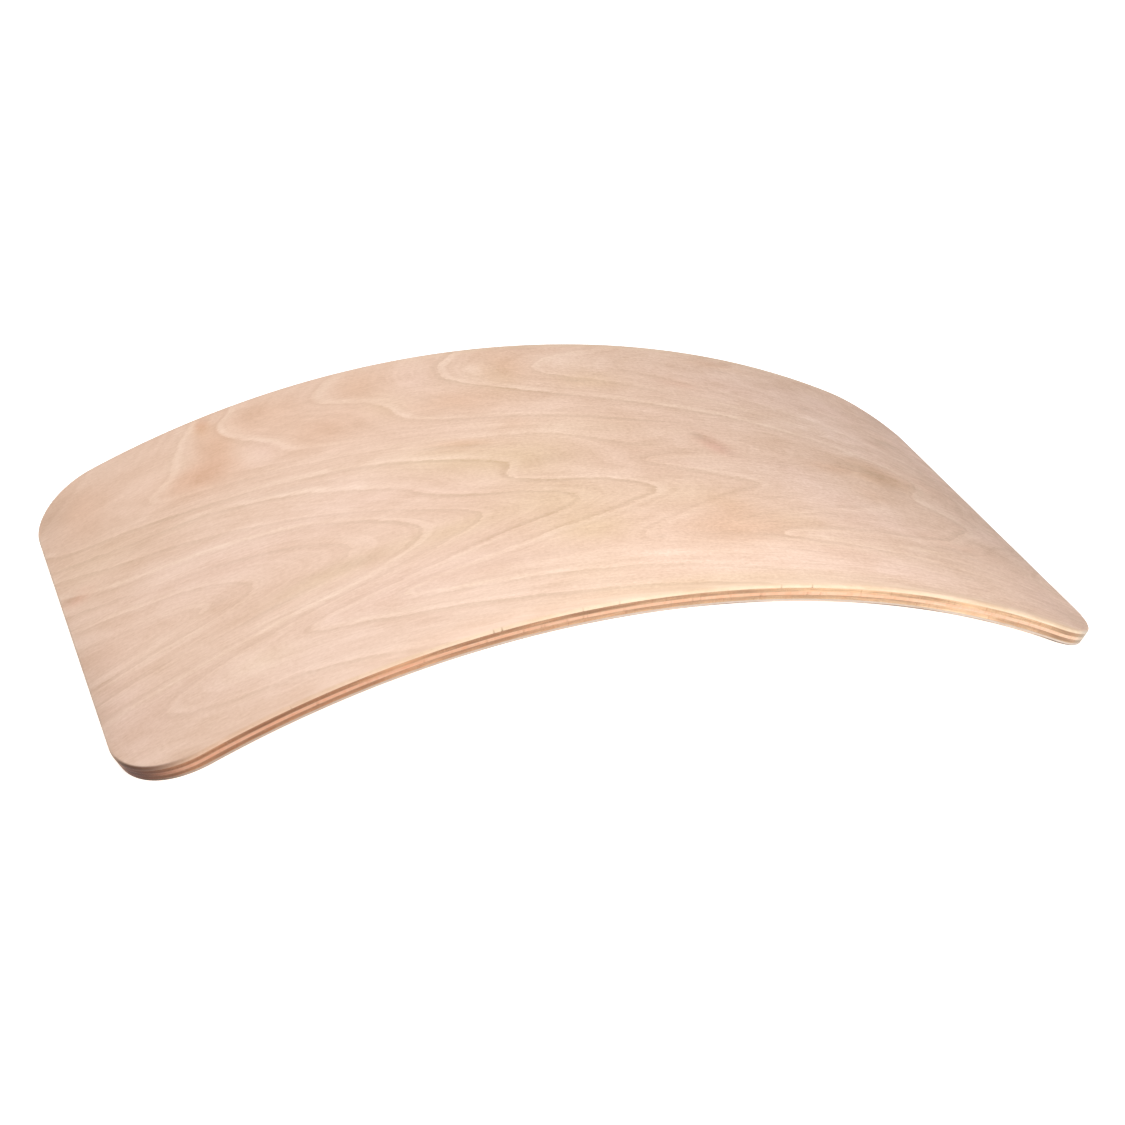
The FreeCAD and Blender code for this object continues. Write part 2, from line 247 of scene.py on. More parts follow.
def bottom_rings(along, across):
    # The underside is another stretch of the same log: one broad flame off the middle.
    warp = 26 * np.sin(along / 118 + 0.6) + 13 * np.sin(along / 53 + across / 61 + 2.1) + 7 * np.sin(along / 29 - across / 37)
    lane = (across - 48 + warp * 0.55) / 64
    return -along / 104 + 2.5 * np.cos(lane * 1.35) + 1.3 * lane + 0.35 * np.sin(along / 71 + lane * 2.2) + 40.3


def slope_of(field, along, across):
    step = 0.5
    gx = (field(along + step, across) - field(along - step, across)) / (2 * step)
    gy = (field(along, across + step) - field(along, across - step)) / (2 * step)
    return np.hypot(gx, gy)


# Small marks of the top veneer: along, across, half-length, half-width, turn in degrees, depth (below zero is paler).
# The broad paler marks along the front and the broad darker marks at the two ends are partly painted light and shade,
# partly the veneer's own tone.
MARKS = [
    (-262, 116, 30, 14, -10, .40), (-246, 150, 12, 22, 0, .25), (-246, 196, 6, 9, -25, .20), (-205, 170, 16, 9, -35, .30),
    (-382, 172, 26, 22, 25, .65), (125, 31, 6, 9, 25, 1.45), (133, 18, 8, 12, 15, .95), (140, 4, 6, 9, 10, .60), (272, 12, 22, 10, -8, 1.10), (226, 13, 26, 8, -6, .35), (288, 6, 18, 20, 0, .85),
    (296, 24, 14, 8, -25, .25), (288, -14, 14, 10, 0, .55), (322, 6, 10, 4, 55, .40), (-62, 41, 16, 3.5, -17, 1.00), (-90, 49, 12, 3, -12, .50),
    (-186, -77, 16, 6, 6, .60), (-255, -92, 34, 3.5, 9, .60), (-215, -74, 40, 8, 4, .25), (84, -133, 40, 7, -3, .50), (112, -132, 10, 6, 0, .55),
    (26, -130, 5, 3, 0, .60), (-8, 5, 26, 12, 0, .25), (-15, 6, 12, 10, 0, .20), (64, 166, 30, 14, 0, -.40), (-22, 165, 10, 16, -20, -.45),
    (-278, -150, 46, 14, -4, -.35), (-330, -148, 18, 8, 0, -.25), (160, -133, 26, 3.5, -4, -.75), (246, -131, 26, 3.5, 6, -.50),
    (206, 174, 10, 3, 0, .80), (215, 191, 12, 3.5, 14, .55), (-145, 112, 40, 18, -12, .32), (-104, 172, 10, 14, -30, .40), (-74, 128, 8, 12, 0, .38),
    (-62, 108, 20, 8, -8, .32), (-5, 165, 8, 14, 0, .42), (-12, 180, 10, 6, 0, .25), (55, 203, 40, 3.5, 0, .75), (30, 199, 12, 4, -8, .5),
    (58, 133, 12, 3, -14, .75), (-392, 45, 7, 6, 0, 1.0), (-205, 50, 30, 5, -12, .55), (-172, 38, 14, 7, -10, .25), (205, -45, 40, 16, 10, -.28),
    (362, -42, 18, 10, -20, -.40), (311, -20, 14, 7, -25, -.35), (283, 150, 7, 11, -20, -.40), (268, 41, 12, 4, 24, -.55), (272, 127, 9, 6, 0, .50),
    (350, 106, 20, 6, 22, .50), (355, 138, 10, 5, 20, .35), (-290, -55, 12, 5, 10, .35), (-325, 62, 14, 5, -8, .30), (-318, 72, 14, 4, -8, .30),
    (-335, 14, 16, 5, -6, .28), (180, -10, 6, 10, 25, .40), (270, -165, 10, 6, 0, .40), (165, -158, 26, 5, -4, .30), (-90, -128, 40, 8, 0, .22),
    (290, -115, 16, 4, 6, .40), (300, -124, 12, 3, 0, .40), (185, -92, 14, 6, 0, .30), (335, -32, 10, 6, 0, -.3), (-160, -175, 30, 10, -8, .25),
    (-275, 20, 40, 12, -14, .10), (-150, 135, 30, 10, -40, .18), (370, -185, 30, 30, 0, .35), (385, 175, 26, 26, 0, .55), (120, -105, 50, 16, 6, .16),
    (20, 160, 50, 26, 0, .10), (340, 60, 30, 30, 0, .12), (392, 20, 30, 90, 0, .42), (396, -60, 20, 60, 0, .40), (388, 178, 30, 30, 0, .45),
    (-396, 165, 32, 44, 0, .65), (-396, -105, 22, 60, 0, .55), (-66, 100, 26, 30, 0, .30), (345, -186, 40, 22, 0, .35), (-50, -134, 34, 7, 0, .30),
    (-302, 63, 26, 7, -14, -.30), (70, 13, 20, 8, 0, -.35), (168, -24, 24, 10, 0, -.25), (-312, -178, 30, 10, -5, -.25), (386, -120, 18, 24, 0, -.35),
    (388, -180, 34, 34, 0, .40), (-80, -172, 170, 34, 0, -.30), (115, -178, 80, 30, 0, -.38), (-255, 18, 66, 30, 0, -.30), (-150, 20, 60, 26, 0, -.15),
    (250, 84, 46, 30, 0, -.40), (175, 190, 60, 26, 0, -.25), (-150, 190, 46, 20, 0, .20), (150, -30, 60, 30, 0, -.15), (262, 10, 34, 20, 0, .15),
    (-40, 150, 24, 20, 20, -.25), (-225, 120, 12, 26, 20, -.35), (-275, 150, 13, 24, -18, -.50), (-292, 122, 12, 10, -40, -.35), (-258, 190, 9, 14, -25, -.35), (-224, 168, 9, 18, 14, -.20), (-330, 190, 26, 16, 20, .15), (60, 160, 30, 16, -10, -.2),
    (-30, 68, 30, 5, -8, -.45), (40, 50, 40, 5, -10, -.40), (-60, -140, 60, 4, -3, -.45), (50, -156, 60, 4, -5, -.30), (-250, -104, 60, 4, 5, -.35),
]
# Broad lighter and darker places: along, across, half-length, half-width, turn in degrees, gain. Mostly painted light
# and shade: a paler strip along the front painted as light, and a darker right end, a darker left end and its front
# corner painted as shade; partly the veneer's own tone.
SHADES = [
    (95, -165, 165, 55, 0, .125), (120, -90, 150, 45, 0, .050), (-100, -202, 130, 12, 0, .080), (372, 0, 46, 160, 0, -.088),
    (-390, -50, 15, 100, 0, -.045), (-402, -80, 8, 120, 0, -.090), (-370, -150, 60, 60, 0, -.035), (-300, 150, 80, 50, 0, .030),
]
# Reddish places of the same form
BLUSHES = [(133, 14, 9, 14, 18, 1.0), (-262, 120, 26, 18, -10, .20), (-385, 42, 10, 8, 0, .6), (-246, 195, 6, 8, -20, .5), (150, 134, 14, 8, 0, .3)]
# Broad tints: along, across, half-length, half-width, turn in degrees, warm, olive, rose
TINTS = [
    (-362, 160, 20, 36, 0, .50, 0, 0), (-263, 117, 30, 22, 0, 1.0, 0, 0), (-243, 154, 15, 26, 0, .8, 0, 0), (-248, 190, 8, 13, 0, 1.1, .3, 0),
    (-200, 172, 32, 26, 0, .6, 0, 0), (-160, 121, 40, 26, 0, .6, 0, 0), (-113, 176, 24, 22, 0, .6, .1, 0), (-57, 114, 36, 20, 0, .65, .1, 0),
    (7, 170, 20, 28, 0, .55, .1, 0), (-20, 66, 14, 8, 0, .4, 0, 0), (-67, 46, 22, 7, -18, .7, .2, 0), (93, -119, 36, 20, 0, .65, .2, 0),
    (100, -86, 20, 16, 0, .4, .2, 0), (282, 8, 28, 20, 0, 1.2, .5, 0), (233, 2, 20, 12, 0, .5, 0, 0), (250, -39, 14, 14, 0, .4, 0, 0),
    (300, -106, 40, 14, 0, .3, 0, .2), (207, 186, 32, 8, 0, .5, 0, 0), (347, 20, 30, 26, 0, .35, 0, .1), (130, 20, 9, 16, 18, .8, 0, .9),
    (-384, 42, 12, 9, 0, .7, 0, .4), (153, 134, 16, 10, 0, .35, 0, 0), (380, 60, 20, 40, 0, .2, 0, .4),
    (-87, 27, 46, 22, -22, 0, .9, 0), (-27, 14, 42, 26, 0, 0, .9, 0), (-27, -59, 46, 36, 0, 0, .9, 0), (-113, -72, 42, 12, 8, 0, .7, 0),
    (-207, -79, 50, 10, 8, 0, .7, 0), (-20, -106, 32, 20, 0, .1, .9, 0), (67, -66, 42, 22, 0, 0, .5, 0), (67, 134, 28, 16, 0, .3, .7, 0),
    (-7, 147, 18, 30, 0, .2, .5, 0), (27, 54, 60, 20, 0, 0, .3, 0), (-107, 134, 16, 20, 0, 0, .4, 0), (147, -106, 26, 16, 0, .1, .4, 0),
    (-40, -166, 32, 26, 0, 0, .35, 0), (-360, 74, 42, 30, 0, 0, .3, 0), (-280, -146, 22, 12, 0, 0, .4, 0), (40, -196, 110, 10, 0, 0, .9, 0),
    (-273, -6, 72, 36, 0, 0, 0, .8), (-167, 7, 60, 30, 0, 0, 0, .5), (-167, -126, 72, 30, 0, 0, 0, .7), (-330, -146, 42, 26, 0, 0, 0, .6),
    (-385, -120, 26, 80, 0, .1, 0, .7), (180, -26, 36, 20, 0, 0, 0, .9), (200, -52, 32, 20, 0, 0, 0, .9), (280, 81, 52, 36, 0, 0, 0, 1.0),
    (293, 147, 46, 26, 0, 0, 0, .9), (200, 141, 60, 40, 0, .1, 0, .7), (227, -92, 52, 26, 0, 0, 0, .7), (107, -172, 62, 18, 0, 0, 0, .6),
    (200, -172, 62, 20, 0, 0, 0, .6), (360, -52, 26, 22, 0, 0, 0, .7), (353, -166, 32, 30, 0, 0, 0, .8), (-213, 121, 14, 22, 0, 0, 0, .7),
    (-73, 167, 15, 20, 0, 0, 0, .5), (133, 61, 60, 20, 0, 0, 0, .25), (385, 130, 26, 60, 0, 0, 0, .8), (-250, -170, 70, 26, 0, 0, 0, .5),
]


def spread(rows, along, across, columns):
    out = np.zeros((columns, len(along)))
    for a, c, long, wide, turn, *amounts in rows:
        cos, sin = math.cos(math.radians(turn)), math.sin(math.radians(turn))
        u = ((along - a) * cos + (across - c) * sin) / long
        v = (-(along - a) * sin + (across - c) * cos) / wide
        out += np.array(amounts)[:, None] * np.exp(-(u * u + v * v))
    return out


# Sheets -------------------------------------------------------------------------------
def column_places(side, par, rho, inset):
    """Angle and half-width of each column of an outline that is inset from the edge. side is -1 and 1 in the
    corners, where par is the corner angle, and 0 between them, where par runs from -1 to 1."""
    off_end = CORNER - (CORNER - inset) * np.sin(par)
    corner_angle = side * (HALF - np.arcsin(np.clip(off_end, -1e3, 1e3) / rho))
    angle = np.where(side == 0, par * (HALF - math.asin(CORNER / rho)), corner_angle)
    half_width = np.where(side == 0, WIDTH / 2 - inset, WIDTH / 2 - CORNER + (CORNER - inset) * np.cos(par))
    return angle, half_width


def make_columns(spacing, corner_steps, extra=()):
    straight = ARC - 2 * CORNER
    count = int(round(straight / spacing))
    par = sorted(set(np.round(np.concatenate([np.linspace(-1, 1, count + 1), np.array(list(extra), float)]), 7)))
    par = np.array([p for p in par if -1 <= p <= 1])
    corner = np.linspace(math.pi / 2, 0, corner_steps + 1)[:-1]
    side = np.concatenate([-np.ones(corner_steps), np.zeros(len(par)), np.ones(corner_steps)])
    return side, np.concatenate([corner, par, corner[::-1]])


def make_dents(rng, count, width, depth, share):
    """Open checks along one long edge: place on the arc, half-width and depth, in mm."""
    places = rng.uniform(-325, 325, count)
    return [(p, rng.uniform(*width), rng.uniform(*depth)) for p in places if share(p) > rng.uniform()]


def make_sheet(name, top, bottom, rounded, grain, rings, fine, slot, seed, dents=None, nicks=(), stains_and_shade=(), recess=0.0):
    rng = np.random.default_rng(seed)
    front = list(nicks) or (make_dents(rng, **dents) if dents else [])
    rear = make_dents(rng, **dents) if dents else []
    reach = (ARC - 2 * CORNER) / 2
    extra = [(p + k * w) / reach for p, w, _ in front + rear for k in (-1.0, -0.45, 0.0, 0.45, 1.0)]
    side, par = make_columns(2.5 if fine else 5.0, 26, extra)
    nc = len(side)
    nv = 166 if fine else 60
    rows = np.linspace(-1, 1, nv + 1)

    # The outline as a loop of (column, row), from the left end of the front edge round to the right.
    loop = [(c, 0) for c in range(nc)] + [(nc - 1, v) for v in range(1, nv)]
    loop += [(c, nv) for c in range(nc - 1, -1, -1)] + [(0, v) for v in range(nv - 1, 0, -1)]
    loop_c = np.array([c for c, _ in loop])
    loop_v = np.array([v for _, v in loop])
    on_end = (loop_v > 0) & (loop_v < nv)
    out_along = np.where(on_end, np.where(loop_c == 0, -1.0, 1.0), np.where(side[loop_c] == 0, 0.0, side[loop_c] * np.sin(par[loop_c])))
    out_across = np.where(on_end, 0.0, np.where(loop_v == 0, -1.0, 1.0) * np.where(side[loop_c] == 0, 1.0, np.cos(par[loop_c])))

    dent = np.zeros(len(loop))
    where = np.where(side[loop_c] == 0, par[loop_c] * reach, 1e6)
    for spots, edge in ((front, loop_v == 0), (rear, loop_v == nv)):
        for p, w, deep in spots:
            u = np.abs(where - p) / w
            dent = np.maximum(dent, np.where(edge & (u < 1.001), deep * np.clip(1 - u, 0, 1) ** 0.7, 0.0))

    # Profile of the edge from the top face to the bottom face: inset, depth, dent share, wall share, lean of the
    # outward normal (1 is level)
    profile = []
    steps = 7
    if rounded == "top":
        for k in range(steps + 1):
            q = math.pi / 2 * k / steps
            profile.append((ROUND * (1 - math.sin(q)), top + ROUND * (1 - math.cos(q)), max(0.0, 2 * math.sin(q) - 1), math.sin(q)))
        profile.append((0.0, bottom, 1.0, 1.0))
    elif rounded == "bottom":
        profile.append((0.0, top, 0.0, 1.0))
        for k in range(steps, -1, -1):
            q = math.pi / 2 * k / steps
            profile.append((ROUND * (1 - math.sin(q)), bottom - ROUND * (1 - math.cos(q)), 0.0, math.sin(q)))
    else:
        middle = (top + bottom) / 2
        profile = [(recess, top, 0.6, 1.0), (recess, middle, 1.0, 1.0), (recess, bottom, 0.6, 1.0)]

    points, flats, ends, walls, checks = [], [], [], [], []

    def add(angle, across, rho, end, wall, check):
        start = sum(len(p) for p in points)
        points.append(np.stack([rho * np.sin(angle), across, rho * np.cos(angle) + CENTRE_Z], 1) * MM)
        flats.append(np.stack([angle * CROWN_RADIUS, across, np.full(len(angle), CROWN_RADIUS - rho)], 1))
        ends.append(end)
        walls.append(wall)
        checks.append(check)
        return start + np.arange(len(angle))

    along_grain = out_along if grain == "long" else out_across
    rings_of_edge = []
    for inset, depth, share, level in profile:
        rho = CROWN_RADIUS - depth
        angle, half_width = column_places(side, par, rho, inset)
        a = angle[loop_c] - dent * share * out_along / rho
        y = half_width[loop_c] * rows[loop_v] - dent * share * out_across
        check = np.clip(dent / 0.6, 0, 1) * share
        rings_of_edge.append(add(a, y, rho, (along_grain * level) ** 2, np.full(len(loop), level), check))

    faces = []
    n = len(loop)
    for upper, lower in zip(rings_of_edge[:-1], rings_of_edge[1:]):
        for j in range(n):
            k = (j + 1) % n
            faces.append((upper[j], lower[j], lower[k], upper[k]))

    def cap(ring, inset, depth, is_fine, downward):
        rho = CROWN_RADIUS - depth
        made = []
        if is_fine:
            angle, half_width = column_places(side, par, rho, inset)
            grid = np.full((nc, nv + 1), -1, dtype=int)
            grid[loop_c, loop_v] = ring
            cc, vv = np.meshgrid(np.arange(1, nc - 1), np.arange(1, nv), indexing="ij")
            cc, vv = cc.ravel(), vv.ravel()
            zero = np.zeros(len(cc))
            grid[cc, vv] = add(angle[cc], half_width[cc] * rows[vv], rho, zero, zero, zero)
            for c in range(nc - 1):
                for v in range(nv):
                    made.append((grid[c, v], grid[c + 1, v], grid[c + 1, v + 1], grid[c, v + 1]))
        else:
            front_row = ring[:nc]
            right_rows = ring[nc:nc + nv - 1]
            back_row = ring[nc + nv - 1:nc + nv - 1 + nc][::-1]
            left_rows = ring[nc + nv - 1 + nc:]
            made.append((front_row[0], front_row[1], back_row[1], back_row[0], *left_rows))
            for c in range(1, nc - 2):
                made.append((front_row[c], front_row[c + 1], back_row[c + 1], back_row[c]))
            made.append((front_row[nc - 2], front_row[nc - 1], *right_rows, back_row[nc - 1], back_row[nc - 2]))
        return [tuple(reversed(f)) for f in made] if downward else made

    wall_faces = len(faces)
    faces += cap(rings_of_edge[0], profile[0][0], top, fine == "top", False)
    faces += cap(rings_of_edge[-1], profile[-1][0], bottom, fine == "bottom", True)

    points, flats = np.concatenate(points), np.concatenate(flats)
    ends, walls, checks = np.concatenate(ends), np.concatenate(walls), np.concatenate(checks)
    mesh = bpy.data.meshes.new(name)
    mesh.from_pydata(points.tolist(), [], [tuple(int(i) for i in f) for f in faces])
    mesh.update()

    def put(label, kind, values):
        layer = mesh.attributes.new(label, kind, "POINT")
        layer.data.foreach_set("vector" if kind == "FLOAT_VECTOR" else "value", np.ascontiguousarray(values, dtype=np.float32).ravel())

    put("flat", "FLOAT_VECTOR", flats)
    put("endgrain", "FLOAT", ends)
    put("wall", "FLOAT", walls)
    put("check", "FLOAT", checks)
    # crossbands: real stain patches of the end grain; bottom veneer: where its painted shade line along the lower
    # round-over shows
    if stains_and_shade:
        run = np.where(flats[:, 1] < 0, flats[:, 0], 35 - 0.85 * flats[:, 0])
        put("stain_and_shade", "FLOAT", sum(amount * np.exp(-((run - at) / length) ** 2) for at, length, amount in stains_and_shade))
    if rings:
        along, across = flats[:, 0], flats[:, 1]
        level = rings(along, across)
        put("ring", "FLOAT", level)
        put("slope", "FLOAT", slope_of(rings, along, across))
        if rings is top_rings:
            dark, pale = ring_shows(level, along, across)
            mark, tints = spread(MARKS, along, across, 1)[0], spread(TINTS, along, across, 3)
            shade, blush = spread(SHADES, along, across, 1)[0], spread(BLUSHES, along, across, 1)[0]
        else:
            dark, pale = 0.55 + 0.35 * np.sin(level * 2.1 + along / 90), 0.45 + 0.35 * np.cos(level * 1.7 - along / 120)
            mark = 0.35 * np.sin(along / 83 + 1.1) * np.sin(across / 41 - along / 160)
            tints = np.stack([np.clip(np.sin(along / 97 + k * 2.2) * np.sin(across / 58 + k * 1.3), 0, 1) for k in range(3)]) * 0.6
            shade, blush = 0.02 * np.sin(along / 140 + across / 90), np.zeros(len(along))
        put("late", "FLOAT", dark)
        put("early", "FLOAT", pale)
        put("mark", "FLOAT", mark)
        put("tint", "FLOAT_VECTOR", tints.T)
        put("shade", "FLOAT", shade)
        put("blush", "FLOAT", blush)

    # Smooth faces, with a crisp line only where a glued face meets the edge.
    mesh.polygons.foreach_set("use_smooth", [True] * len(mesh.polygons))
    hard = set()
    for ring, is_round in ((rings_of_edge[0], rounded == "top"), (rings_of_edge[-1], rounded == "bottom")):
        if not is_round:
            hard |= {tuple(sorted((int(ring[j]), int(ring[(j + 1) % n])))) for j in range(n)}
    crisp = mesh.attributes.new("sharp_edge", "BOOLEAN", "EDGE")
    crisp.data.foreach_set("value", [tuple(sorted(e.vertices)) in hard for e in mesh.edges])
    mesh.validate()
    piece = bpy.data.objects.new(name, mesh)
    scene.collection.objects.link(piece)
    return piece


# Materials ----------------------------------------------------------------------------
class Nodes:
    """A short way to write a node tree."""

    def __init__(self, name):
        self.material = bpy.data.materials.new(name)
        self.material.use_nodes = True
        self.tree = self.material.node_tree
        self.tree.nodes.clear()

    def new(self, kind, **settings):
        node = self.tree.nodes.new(kind)
        for key, value in settings.items():
            setattr(node, key, value)
        return node

    def put(self, socket, value):
        if isinstance(value, bpy.types.NodeSocket):
            self.tree.links.new(value, socket)
        elif isinstance(value, (tuple, list)):
            socket.default_value = tuple(value) + (1.0,) * (len(socket.default_value) - len(value))
        else:
            socket.default_value = value

    def math(self, operation, *values, clamp=False):
        node = self.new("ShaderNodeMath", operation=operation, use_clamp=clamp)
        for socket, value in zip(node.inputs, values):
            self.put(socket, value)
        return node.outputs[0]

    def add(self, a, b):
        return self.math("ADD", a, b)

    def mul(self, a, b):
        return self.math("MULTIPLY", a, b)

    def sub(self, a, b):
        return self.math("SUBTRACT", a, b)

    def attribute(self, name):
        return self.new("ShaderNodeAttribute", attribute_name=name)

    def stretch(self, vector, scale, shift=(0, 0, 0)):
        node = self.new("ShaderNodeVectorMath", operation="MULTIPLY_ADD")
        self.put(node.inputs[0], vector)
        node.inputs[1].default_value = scale
        node.inputs[2].default_value = shift
        return node.outputs[0]

    def split(self, vector):
        node = self.new("ShaderNodeSeparateXYZ")
        self.put(node.inputs[0], vector)
        return node.outputs

    def join(self, x, y, z):
        node = self.new("ShaderNodeCombineXYZ")
        for socket, value in zip(node.inputs, (x, y, z)):
            self.put(socket, value)
        return node.outputs[0]

    def bell(self, value, centre, width):
        x = self.mul(self.sub(value, centre), 1 / width)
        return self.math("EXPONENT", self.mul(self.mul(x, x), -1.0))

    def decay(self, value, length):
        return self.math("EXPONENT", self.mul(value, -1 / length))

    def noise(self, vector, scale=1.0, detail=2.0, rough=0.5, twist=0.0):
        node = self.new("ShaderNodeTexNoise", noise_dimensions="3D")
        self.put(node.inputs["Vector"], vector)
        node.inputs["Scale"].default_value = scale
        node.inputs["Detail"].default_value = detail
        node.inputs["Roughness"].default_value = rough
        node.inputs["Distortion"].default_value = twist
        return node.outputs["Fac"]

    def span(self, value, low, high, to_low=0.0, to_high=1.0, smooth=False):
        node = self.new("ShaderNodeMapRange", interpolation_type="SMOOTHSTEP" if smooth else "LINEAR", clamp=True)
        for key, v in (("Value", value), ("From Min", low), ("From Max", high), ("To Min", to_low), ("To Max", to_high)):
            self.put(node.inputs[key], v)
        return node.outputs["Result"]

    def mix(self, share, a, b, blend="MIX"):
        node = self.new("ShaderNodeMix", data_type="RGBA", blend_type=blend, clamp_factor=True)
        self.put(node.inputs["Factor"], share)
        self.put(node.inputs[6], a)
        self.put(node.inputs[7], b)
        return node.outputs[2]

    def steps(self, value, levels, smooth=False):
        node = self.new("ShaderNodeValToRGB")
        node.color_ramp.interpolation = "LINEAR" if smooth else "CONSTANT"
        while len(node.color_ramp.elements) < len(levels):
            node.color_ramp.elements.new(0.5)
        for element, (place, level) in zip(node.color_ramp.elements, levels):
            element.position = place
            element.color = (level, level, level, 1) if not isinstance(level, tuple) else (*level, 1)
        self.put(node.inputs[0], value)
        return node.outputs[0]

    def finish(self, colour, roughness, height, strength, distance, specular):
        shader = self.new("ShaderNodeBsdfPrincipled")
        self.put(shader.inputs["Base Color"], colour)
        self.put(shader.inputs["Roughness"], roughness)
        shader.inputs["Specular IOR Level"].default_value = specular
        if height is not None:
            bump = self.new("ShaderNodeBump")
            bump.inputs["Strength"].default_value = strength
            bump.inputs["Distance"].default_value = distance
            self.put(bump.inputs["Height"], height)
            self.tree.links.new(bump.outputs["Normal"], shader.inputs["Normal"])
        out = self.new("ShaderNodeOutputMaterial")
        self.tree.links.new(shader.outputs["BSDF"], out.inputs["Surface"])
        return self.material


BASE = (0.790, 0.553, 0.420)
PALE = (0.905, 0.690, 0.545)
DEEP = (0.480, 0.305, 0.205)
LATE = (0.490, 0.290, 0.155)


def face_wood(name, shift, left_edge, right_edge, painted_lower_shade):
    """Long-grain veneer: face, round-over and edge. Lengths are in mm on the flat sheet."""
    t = Nodes(name)
    flat = t.attribute("flat").outputs["Vector"]
    place = t.split(flat)
    ring = t.attribute("ring").outputs["Fac"]
    slope = t.attribute("slope").outputs["Fac"]
    mark = t.attribute("mark").outputs["Fac"]
    warm, olive, rose = t.split(t.attribute("tint").outputs["Vector"])
    end = t.attribute("endgrain").outputs["Fac"]
    wall = t.attribute("wall").outputs["Fac"]
    check = t.attribute("check").outputs["Fac"]

    def moved(by):
        return tuple(c + by for c in shift)

    # ring boundaries: a dark line, then a pale one, both a little ragged
    slope = t.add(slope, 0.004)
    ragged = t.sub(t.noise(t.stretch(flat, (1 / 34, 1 / 5, 1 / 5), shift), detail=3.0, rough=0.6), 0.5)
    fuzzy = t.sub(t.noise(t.stretch(flat, (1 / 8, 1 / 1.6, 1 / 1.6), shift), detail=2.0), 0.5)
    level = t.add(ring, t.mul(slope, t.add(t.mul(ragged, 5.0), t.mul(fuzzy, 2.6))))
    part = t.sub(level, t.math("FLOOR", level))
    after = t.math("DIVIDE", part, slope)
    before = t.math("DIVIDE", t.sub(1.0, part), slope)
    late = t.add(t.bell(before, 1.6, 2.6), t.mul(t.decay(before, 11.0), 0.42))
    early = t.add(t.bell(after, 2.8, 2.8), t.mul(t.decay(after, 13.0), 0.34))
    fade = t.span(t.noise(t.stretch(flat, (1 / 26, 1 / 12, 1 / 12), moved(7.3)), detail=2.0), 0.30, 0.70, 0.55, 1.25)
    late = t.mul(t.mul(late, t.attribute("late").outputs["Fac"]), fade)
    early = t.mul(t.mul(early, t.attribute("early").outputs["Fac"]), fade)

    # grain: bands and streaks that follow the rings, then fibres and flecks that follow the board
    steady = t.add(ring, t.mul(slope, t.mul(ragged, 4.0)))
    vein = t.noise(t.join(t.mul(place[0], 1 / 150), t.mul(steady, 4.5), shift[0]), detail=3.0, rough=0.6)
    thread = t.noise(t.join(t.mul(place[0], 1 / 60), t.mul(steady, 14.0), shift[1]), detail=2.0, rough=0.6)
    cloud = t.noise(t.stretch(flat, (1 / 50, 1 / 26, 1 / 26), moved(3.1)), detail=3.0, rough=0.6, twist=0.5)
    mottle = t.noise(t.stretch(flat, (1 / 22, 1 / 11, 1 / 11), moved(5.7)), detail=3.0, rough=0.6, twist=0.6)
    streak = t.noise(t.stretch(flat, (1 / 46, 1 / 2.0, 1 / 2.0), shift), detail=3.0, rough=0.65)
    fibre = t.noise(t.stretch(flat, (1 / 9.0, 1 / 0.9, 1 / 0.9), shift), detail=3.0, rough=0.65)
    fleck = t.noise(t.stretch(flat, (1 / 3.0, 1 / 2.1, 1 / 2.1), moved(11.0)), detail=2.0, rough=0.6)
    pore = t.noise(t.stretch(flat, (1 / 2.2, 1 / 0.7, 1 / 0.7), moved(23.0)), detail=1.0)

    colour = t.mix(t.mul(warm, 0.95), BASE, (0.955, 0.856, 0.766), "MULTIPLY")
    colour = t.mix(t.mul(olive, 0.95), colour, (0.962, 0.980, 0.880), "MULTIPLY")
    colour = t.mix(t.mul(rose, 0.95), colour, (1.052, 1.065, 1.133), "MULTIPLY")
    colour = t.mix(t.attribute("blush").outputs["Fac"], colour, (1.010, 0.930, 0.955), "MULTIPLY")
    colour = t.mix(t.span(place[0], 250.0, 380.0, smooth=True), colour, (1.026, 0.988, 0.966), "MULTIPLY")
    colour = t.mix(t.mul(early, 0.51), colour, PALE)
    colour = t.mix(t.mul(late, 0.23), colour, LATE)
    colour = t.mix(t.span(mark, 0.0, 2.0, 0.0, 0.54), colour, DEEP)
    colour = t.mix(t.span(mark, 0.0, -1.0, 0.0, 0.75), colour, PALE)
    loose = t.span(place[0], 20.0, 340.0, 0.03, 0.17, smooth=True)
    calm = t.sub(1.0, t.mul(t.mul(t.span(place[0], -265.0, -320.0, smooth=True), t.span(place[1], 85.0, 130.0, smooth=True)), 0.75))
    tone = t.add(t.span(cloud, 0.25, 0.75, -0.085, 0.085), t.mul(t.span(vein, 0.25, 0.75, -0.055, 0.055), calm))
    tone = t.add(tone, t.mul(t.sub(mottle, 0.5), t.mul(loose, 2.0)))
    tone = t.add(tone, t.mul(t.span(thread, 0.25, 0.75, -0.054, 0.048), calm))
    open_grain = t.span(place[0], 0.0, 240.0, 1.0, 2.4, smooth=True)
    tone = t.add(tone, t.mul(t.span(streak, 0.25, 0.75, -0.058, 0.053), open_grain))
    cut = t.math("MAXIMUM", t.span(wall, 0.03, 0.30, smooth=True), t.span(t.math("ABSOLUTE", place[1]), 196.0, 203.0, smooth=True))
    coarse = t.add(t.mul(t.span(place[0], -160.0, 220.0, 0.0, 1.29, smooth=True), t.sub(1.0, cut)), t.sub(0.66, t.mul(cut, 0.36)))
    tone = t.add(tone, t.mul(t.span(fibre, 0.25, 0.75, -0.068, 0.062), coarse))
    tone = t.add(tone, t.mul(t.span(fleck, 0.25, 0.75, -0.106, 0.106), t.math("MINIMUM", coarse, 1.15)))
    pores = t.span(pore, 0.64, 0.74)
    tone = t.sub(tone, t.mul(pores, 0.10))
